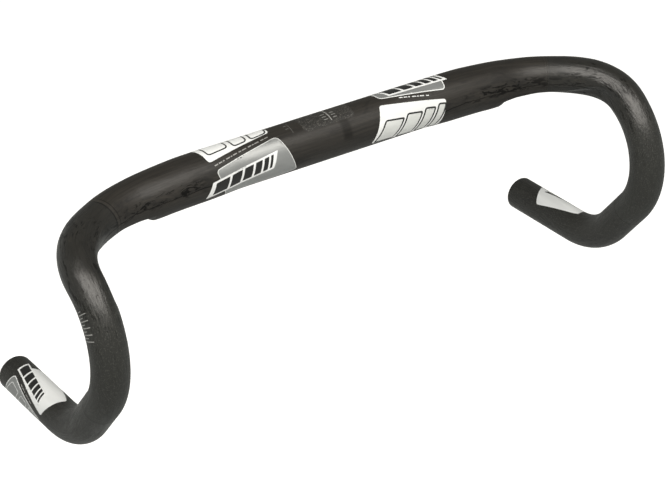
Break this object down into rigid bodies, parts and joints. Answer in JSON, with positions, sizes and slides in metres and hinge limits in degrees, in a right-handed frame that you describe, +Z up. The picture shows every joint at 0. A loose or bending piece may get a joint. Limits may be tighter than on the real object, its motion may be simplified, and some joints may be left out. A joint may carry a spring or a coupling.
{
  "type": "drop handlebar",
  "caption": "Moulded carbon drop handlebar with a round clamp zone, flared grooved tops, compact round hooks, printed panels and expanding end plugs.",
  "frame": {"origin": "middle of the clamp zone, on the tube's centreline", "axes": "+X towards the rider's left along the clamp zone's axis, +Y towards the rider, +Z up with the straight tails of the drops level"},
  "size_m": [0.4444, 0.152, 0.1621],
  "materials": {
    "carbon": "satin clear coat over unidirectional carbon",
    "carbon_sleeve": "bare moulded carbon",
    "grit_coat": "fine friction grit",
    "print_grey": "thin printed lines",
    "panel_white": "white printed panel under clear coat",
    "panel_silver": "silver printed panel under clear coat",
    "plug_plastic": "moulded black nylon",
    "screw_steel": "plain zinc plate",
    "wedge_aluminium": "turned"
  },
  "bodies": {
    "bar": {"centre_section": "carbon", "left_drop": "carbon", "right_drop": "carbon", "left_joint_sleeve": "carbon_sleeve", "right_joint_sleeve": "carbon_sleeve", "clamp_grip_patch": "grit_coat", "centre_scale": "print_grey", "left_lever_scale": "print_grey", "right_lever_scale": "print_grey", "left_lever_grip_coat": "grit_coat", "right_lever_grip_coat": "grit_coat", "right_top_panel_silver": "panel_silver", "right_top_panel_white": "panel_white", "left_top_panel_silver": "panel_silver", "left_top_panel_white": "panel_white", "right_tail_panel_silver": "panel_silver", "right_tail_panel_white": "panel_white", "left_tail_panel_silver": "panel_silver", "left_tail_panel_white": "panel_white"},
    "left_plug": {"left_plug_cap": "plug_plastic", "left_plug_expander": "plug_plastic"},
    "left_plug_screw": {"left_plug_screw": "screw_steel"},
    "left_plug_wedge": {"left_plug_wedge": "wedge_aluminium"},
    "right_plug": {"right_plug_cap": "plug_plastic", "right_plug_expander": "plug_plastic"},
    "right_plug_screw": {"right_plug_screw": "screw_steel"},
    "right_plug_wedge": {"right_plug_wedge": "wedge_aluminium"}
  },
  "joints": [
    {"name": "left_plug_pull", "type": "slide", "parent": "bar", "child": "left_plug", "axis": [0, 1, 0], "range_m": [0, 0.06]},
    {"name": "left_plug_screw_turn", "type": "hinge", "parent": "left_plug", "child": "left_plug_screw", "pos_m": [0.21, 0.05915, -0.1341], "axis": [0, 1, 0], "range_deg": [0, 1306]},
    {"name": "left_plug_wedge_travel", "type": "slide", "parent": "left_plug", "child": "left_plug_wedge", "axis": [0, -1, 0], "range_m": [0, 0.0029]},
    {"name": "right_plug_pull", "type": "slide", "parent": "bar", "child": "right_plug", "axis": [0, 1, 0], "range_m": [0, 0.06]},
    {"name": "right_plug_screw_turn", "type": "hinge", "parent": "right_plug", "child": "right_plug_screw", "pos_m": [-0.21, 0.05915, -0.1341], "axis": [0, 1, 0], "range_deg": [0, 1306]},
    {"name": "right_plug_wedge_travel", "type": "slide", "parent": "right_plug", "child": "right_plug_wedge", "axis": [0, -1, 0], "range_m": [0, 0.0029]}
  ],
  "couplings": [
    {"joint": "left_plug_screw_turn", "follows": "left_plug_wedge_travel", "rad_per_m": 7854},
    {"joint": "right_plug_screw_turn", "follows": "right_plug_wedge_travel", "rad_per_m": 7854}
  ]
}
